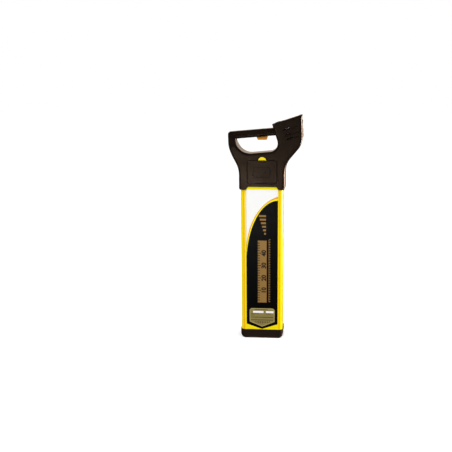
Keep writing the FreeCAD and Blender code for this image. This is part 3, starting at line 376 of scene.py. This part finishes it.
def ellipseArc(centre, radii, x0, x1, steps):
    arc = []
    start = math.acos((x0 - centre[0]) / radii[0])
    end = math.acos((x1 - centre[0]) / radii[0])
    for i in range(steps + 1):
        # Even steps in angle keep the flat and the steep end equally smooth
        angle = start + (end - start) * i / steps
        arc.append((centre[0] + radii[0] * math.cos(angle), centre[1] + radii[1] * math.sin(angle)))
    return arc


def between(a, b, share):
    return (a[0] + (b[0] - a[0]) * share, a[1] + (b[1] - a[1]) * share)


# Side label: white field, yellow sweep and black field on one film
labelLook = {
    "left": -52.0, "right": 54.0, "top": 526.0, "stripFoot": 513.6, "margin": 0.4,
    "outerSweep": ((81.6, 303.8), (134.2, 191.1)), "innerSweep": ((55.6, 259.7), (108.1, 218.1)),
    "ink": 0.00004, "overprint": 0.00003, "amberShare": 0.45, "steps": 40,
}
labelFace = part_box("side_label")[0].y
left = labelLook["left"] + labelLook["margin"]
right = labelLook["right"] - labelLook["margin"]
outer = ellipseArc(*labelLook["outerSweep"], left, right, labelLook["steps"])
inner = ellipseArc(*labelLook["innerSweep"], left, right, labelLook["steps"])
inkFace = labelFace - labelLook["ink"]
overprintFace = inkFace - labelLook["overprint"]
white = outer + [(right, labelLook["stripFoot"]), (left, labelLook["stripFoot"])]
printPatch("labelWhiteField", [white], inkFace, "inkWhite")
sweep = [[outer[i], outer[i + 1], inner[i + 1], inner[i]] for i in range(len(outer) - 1)]
printPatch("labelYellowSweep", sweep, inkFace, "inkYellow")
amberShare = labelLook["amberShare"]
amber = [[outer[i], outer[i + 1], between(outer[i + 1], inner[i + 1], amberShare),
          between(outer[i], inner[i], amberShare)] for i in range(len(outer) - 1)]
printPatch("labelAmberEdge", amber, overprintFace, "inkAmber")
strip = rectangle(left, right, labelLook["stripFoot"], labelLook["top"] - labelLook["margin"])
printPatch("labelYellowStrip", [strip], inkFace, "inkYellow")
print("label fields printed")


# Depth scale: gold band with black graduations and plain numbers, a fine gold scale beside it,
# and gold bars of rising length above them
scaleLook = {"left": -13.7, "right": 16.5, "foot": 125.6, "top": 341.7, "step": 8.644, "every": 5,
             "unit": 2, "shortTick": 7.0, "longTick": 11.5, "tickWidth": 2.8,
             "numberX": 7.4, "numberHeight": 21.0, "numberWeight": 0.8}
fineLook = {"left": 23.4, "right": 24.8, "foot": 128.0, "top": 344.0, "pitch": 8.64,
            "tick": 4.2, "tickWidth": 2.4}
barLook = {"right": 14.0, "foot": 362.0, "pitch": 12.0, "width": 6.4, "count": 6,
           "shortest": 6.0, "grow": 3.6}


# A number that reads up the blade
def numberPiece(name, text, x, z, height, material):
    curve = bpy.data.curves.new(name, "FONT")
    curve.body = text
    curve.size = height / 1000
    curve.offset = scaleLook["numberWeight"] / 1000
    curve.align_x = "CENTER"
    curve.align_y = "CENTER"
    curve.resolution_u = 3
    letters = bpy.data.objects.new(name, curve)
    bpy.context.scene.collection.objects.link(letters)
    bpy.context.view_layer.update()
    mesh = bpy.data.meshes.new_from_object(letters)
    bpy.data.objects.remove(letters)
    for vertex in mesh.vertices:
        across, up = vertex.co.x, vertex.co.y
        vertex.co = Vector((x / 1000 - up, overprintFace, z / 1000 + across))
    mesh.materials.clear()
    mesh.materials.append(materials[material])
    piece = bpy.data.objects.new(name, mesh)
    bpy.context.scene.collection.objects.link(piece)
    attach(piece, "locator_body")


count = round((scaleLook["top"] - scaleLook["foot"]) / scaleLook["step"])
foot = scaleLook["foot"]
band = rectangle(scaleLook["left"], scaleLook["right"], foot, scaleLook["top"])
printPatch("scaleBand", [band], inkFace, "inkGold")
ticks = []
halfTick = scaleLook["tickWidth"] / 2
for i in range(1, count):
    z = foot + i * scaleLook["step"]
    long = scaleLook["longTick"] if i % scaleLook["every"] == 0 else scaleLook["shortTick"]
    ticks.append(rectangle(scaleLook["left"], scaleLook["left"] + long, z - halfTick, z + halfTick))
printPatch("scaleTicks", ticks, overprintFace, "inkBlack")
for i in range(scaleLook["every"], count, scaleLook["every"]):
    value = i * scaleLook["unit"]
    numberPiece("scaleNumber%d" % value, str(value), scaleLook["numberX"], foot + i * scaleLook["step"],
                scaleLook["numberHeight"], "inkBlack")
fine = [rectangle(fineLook["left"], fineLook["right"], fineLook["foot"], fineLook["top"])]
z = fineLook["foot"]
tickEnd = fineLook["right"] + fineLook["tick"]
while z < fineLook["top"]:
    fine.append(rectangle(fineLook["right"], tickEnd, z, z + fineLook["tickWidth"]))
    z += fineLook["pitch"]
printPatch("fineScale", fine, inkFace, "inkGold")
bars = []
for i in range(barLook["count"]):
    z = barLook["foot"] + i * barLook["pitch"]
    barEnd = barLook["right"] - barLook["shortest"] - i * barLook["grow"]
    bars.append(rectangle(barEnd, barLook["right"], z, z + barLook["width"]))
printPatch("signalBars", bars, inkFace, "inkGold")
print("scale printed")


# Data plate: olive film with a pale border, two white writing fields, ruled lines, rows of
# short dashes and a fan of graduations where the plate narrows
plateLook = {"left": -42.0, "right": 44.0, "top": 105.0, "shoulder": 57.0, "apex": 39.0, "chamfer": 6.0,
             "borderInset": 0.8, "line": 1.8, "ruled": (72.0, 62.3), "ruledInset": 5.0,
             "dash": {"long": 3.4, "high": 2.2, "gap": 1.6},
             "dashRows": ((-38.0, -8.0, 84.0), (16.0, 34.0, 84.0), (-38.0, -20.0, 79.0), (-24.0, 22.0, 99.0)),
             "fields": ((-30.0, 6.0, 88.2, 95.4), (14.0, 40.4, 88.2, 95.4)),
             "fan": {"count": 9, "left": -23.4, "pitch": 6.0, "width": 2.0, "foot": 50.5, "top": 58.5}}
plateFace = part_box("data_plate")[0].y - labelLook["ink"]


# The plate's outline moved in by an inset, where slanted sides need a little more or less than straight ones
def plateOutline(inset):
    look = plateLook
    x0, x1 = look["left"] + inset, look["right"] - inset
    shoulder = look["shoulder"] + inset * 0.7
    corner = look["chamfer"] - inset * 0.6
    cornerFoot = look["top"] - look["chamfer"] - inset * 0.4
    top = look["top"] - inset
    apex = ((x0 + x1) / 2, look["apex"] + inset * 1.1)
    return [apex, (x1, shoulder), (x1, cornerFoot), (x1 - corner, top),
            (x0 + corner, top), (x0, cornerFoot), (x0, shoulder)]


def plateFan(fan):
    strokes = []
    for i in range(fan["count"]):
        x = fan["left"] + i * fan["pitch"]
        foot = fan["foot"] + abs(i - fan["count"] // 2)
        strokes.append(rectangle(x, x + fan["width"], foot, fan["top"]))
    return strokes


def plateDashes(dash):
    strokes = []
    pitch = dash["long"] + dash["gap"]
    for x0, x1, z in plateLook["dashRows"]:
        for i in range(int((x1 - x0) / pitch)):
            x = x0 + i * pitch
            strokes.append(rectangle(x, x + dash["long"], z, z + dash["high"]))
    return strokes


border = ringOf(plateOutline(plateLook["borderInset"]),
                plateOutline(plateLook["borderInset"] + plateLook["line"]))
printPatch("plateBorder", border, plateFace, "inkPaleOlive")
fields = [rectangle(*field) for field in plateLook["fields"]]
printPatch("plateFields", fields, plateFace, "inkWhite")
x0 = plateLook["left"] + plateLook["ruledInset"]
x1 = plateLook["right"] - plateLook["ruledInset"]
lines = [rectangle(x0, x1, z, z + plateLook["line"]) for z in plateLook["ruled"]]
lines += plateFan(plateLook["fan"]) + plateDashes(plateLook["dash"])
printPatch("plateLines", lines, plateFace, "inkOlive")
print("data plate printed")


# Battery sign: painted shade over the grooves in the door, dull black patches a hair proud of its face,
# for a cell with its nub, minus and plus
signLook = {"centre": (0.7, 571.7), "width": 54.6, "height": 33.6, "line": 2.0, "proud": 0.04,
            "nub": {"long": 3.6, "top": 4.6, "foot": -5.6, "end": 1.4},
            "minus": (-15.8, -8.2), "plus": (8.6, 16.6), "plusMiddle": 12.6, "plusHigh": 8.0, "stroke": 1.6}
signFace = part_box("battery_door")[0].y - signLook["proud"] / 1000


def signShapes():
    look = signLook
    x, z = look["centre"]
    line = look["line"]
    halfWide, halfHigh = look["width"] / 2, look["height"] / 2
    halfStroke = look["stroke"] / 2
    outside = rectangle(x - halfWide, x + halfWide, z - halfHigh, z + halfHigh)
    inside = rectangle(x - halfWide + line, x + halfWide - line, z - halfHigh + line, z + halfHigh - line)
    nub = look["nub"]
    nubLeft = x + halfWide
    nubRight = nubLeft + nub["long"]
    nubTop, nubFoot = z + nub["top"], z + nub["foot"]
    shapes = ringOf(outside, inside) + [
        rectangle(nubLeft, nubRight, nubTop, nubTop + line),
        rectangle(nubLeft, nubRight, nubFoot - line, nubFoot),
        rectangle(nubRight - nub["end"], nubRight, nubFoot, nubTop)]
    for start, end in (look["minus"], look["plus"]):
        shapes.append(rectangle(x + start, x + end, z - halfStroke, z + halfStroke))
    middle = x + look["plusMiddle"]
    shapes.append(rectangle(middle - halfStroke, middle + halfStroke,
                            z - look["plusHigh"] / 2, z + look["plusHigh"] / 2))
    return shapes


# Painted shade: dull black patches over the sign's grooves
printPatch("doorSignPaintedShade", signShapes(), signFace, "inkBlack", body="battery_door")
print("door sign filled")


# Floor, lights and camera. The camera sees a white floor, which throws little of its light back.
studio = {"floor": "#fbfbfa", "floorBounce": "#474543", "floorReach": 30.0, "sky": 1.0, "skyLight": 0.50,
          "skyGloss": 0.008, "backdrop": "#f2dcc8", "backdropFrom": 0.3, "backdropTo": 0.85,
          "backdropBoost": 1.3, "overhead": 1.9, "overheadSpread": 100.0}
floorMesh = bpy.data.meshes.new("studioFloor")
reach = studio["floorReach"]
floorMesh.from_pydata([(-reach, -reach, 0), (reach, -reach, 0), (reach, reach, 0), (-reach, reach, 0)], [],
                      [(0, 1, 2, 3)])
floor = bpy.data.objects.new("studioFloor", floorMesh)
bpy.context.scene.collection.objects.link(floor)
floorMaterial, floorTree, floorShader, _ = startMaterial("paleFloor", studio["floor"], 0.9, **{
    "IOR": 1.3, "Specular IOR Level": 0.0})
rays = addNode(floorTree, "ShaderNodeLightPath")
bounce = addNode(floorTree, "ShaderNodeMix", {"data_type": "RGBA"}, {"Factor": rays.outputs["Is Camera Ray"]})
bounce.inputs[6].default_value = linearColour(studio["floorBounce"])
bounce.inputs[7].default_value = linearColour(studio["floor"])
floorTree.links.new(bounce.outputs[2], floorShader.inputs["Base Color"])
floorMesh.materials.append(floorMaterial)

world = bpy.data.worlds.new("studioSky")
bpy.context.scene.world = world
world.use_nodes = True
skyTree = world.node_tree
sky = skyTree.nodes["Background"]
rays = addNode(skyTree, "ShaderNodeLightPath")
# Glossy rays see a warm white backdrop behind the object and a dark room in front of it
heading = addNode(skyTree, "ShaderNodeTexCoord")
split = addNode(skyTree, "ShaderNodeSeparateXYZ", links={"Vector": heading.outputs["Generated"]})
behind = addNode(skyTree, "ShaderNodeMapRange", {"interpolation_type": "SMOOTHSTEP"}, {
    "Value": split.outputs["Y"], "From Min": studio["backdropFrom"], "From Max": studio["backdropTo"]})
backdrop = ramp(skyTree, behind.outputs["Result"], [
    (0.0, grey(studio["skyGloss"])), (1.0, linearColour(studio["backdrop"]))])
glossy = addNode(skyTree, "ShaderNodeMix", {"data_type": "RGBA"}, {"Factor": rays.outputs["Is Glossy Ray"]})
glossy.inputs[6].default_value = grey(studio["skyLight"])
skyTree.links.new(backdrop, glossy.inputs[7])
seen = addNode(skyTree, "ShaderNodeMix", {"data_type": "RGBA"}, {"Factor": rays.outputs["Is Camera Ray"]})
skyTree.links.new(glossy.outputs[2], seen.inputs[6])
seen.inputs[7].default_value = grey(studio["sky"])
skyTree.links.new(seen.outputs[2], sky.inputs["Color"])
boost = addNode(skyTree, "ShaderNodeMapRange", links={
    "Value": rays.outputs["Is Glossy Ray"], "To Min": 1.0, "To Max": studio["backdropBoost"]})
skyTree.links.new(boost.outputs["Result"], sky.inputs["Strength"])


# keyBox lights the front evenly, sheenBox gives the flat faces their soft shine, noseBox the lit
# rims on the right, and edgeBox the blade's right corner
lamps = {
    "keyBox": {"place": (-0.5, -2.6, 1.5), "target": (0, 0, 0.40), "size": (1.6, 1.2), "power": 48.0,
               "glossy": False},
    "sheenBox": {"place": (-0.36, -2.1, 0.08), "target": (0, 0, 0.57), "size": (0.3, 0.3), "power": 3.4},
    "noseBox": {"place": (1.55, 0.70, 0.52), "target": (0.05, 0, 0.55), "size": (0.6, 1.0), "power": 76.0,
                "diffuse": False, "hex": "#ffe9d6"},
    "edgeBox": {"place": (1.7, 0.10, 0.52), "target": (0.05, 0, 0.40), "size": (0.6, 1.0), "power": 28.0,
                "glossy": False},
}


def addLamp(name, data, glossy, diffuse):
    lamp = bpy.data.objects.new(name, data)
    lamp.visible_glossy = glossy
    lamp.visible_diffuse = diffuse
    bpy.context.scene.collection.objects.link(lamp)
    return lamp


def softBox(name):
    look = lamps[name]
    data = bpy.data.lights.new(name, "AREA")
    data.shape = "RECTANGLE"
    data.size, data.size_y = look["size"]
    data.energy = look["power"]
    data.color = linearColour(look.get("hex", "#ffffff"))[:3]
    lamp = addLamp(name, data, look.get("glossy", True), look.get("diffuse", True))
    lamp.location = look["place"]
    aim = Vector(look["target"]) - Vector(look["place"])
    lamp.rotation_euler = aim.to_track_quat("-Z", "Y").to_euler()


for name in lamps:
    softBox(name)
overhead = bpy.data.lights.new("overhead", "SUN")
overhead.energy = studio["overhead"]
overhead.angle = math.radians(studio["overheadSpread"])
addLamp("overhead", overhead, glossy=False, diffuse=True)

view = {"azimuth": 4.5, "distance": 2.25, "height": 0.815, "aim": (0.0, 0.0, 0.380), "lens": 53.66,
        "shift": (-0.0812, 0.0027)}
cameraData = bpy.data.cameras.new("photoCamera")
cameraData.lens = view["lens"]
cameraData.sensor_width = 36.0
cameraData.shift_x, cameraData.shift_y = view["shift"]
cameraData.clip_end = 100.0
camera = bpy.data.objects.new("photoCamera", cameraData)
turn = math.radians(view["azimuth"])
camera.location = (view["distance"] * math.sin(turn), -view["distance"] * math.cos(turn), view["height"])
camera.rotation_euler = (Vector(view["aim"]) - camera.location).to_track_quat("-Z", "Y").to_euler()
bpy.context.scene.collection.objects.link(camera)
bpy.context.scene.camera = camera
bpy.context.scene.view_settings.view_transform = "Standard"
print("stage set")
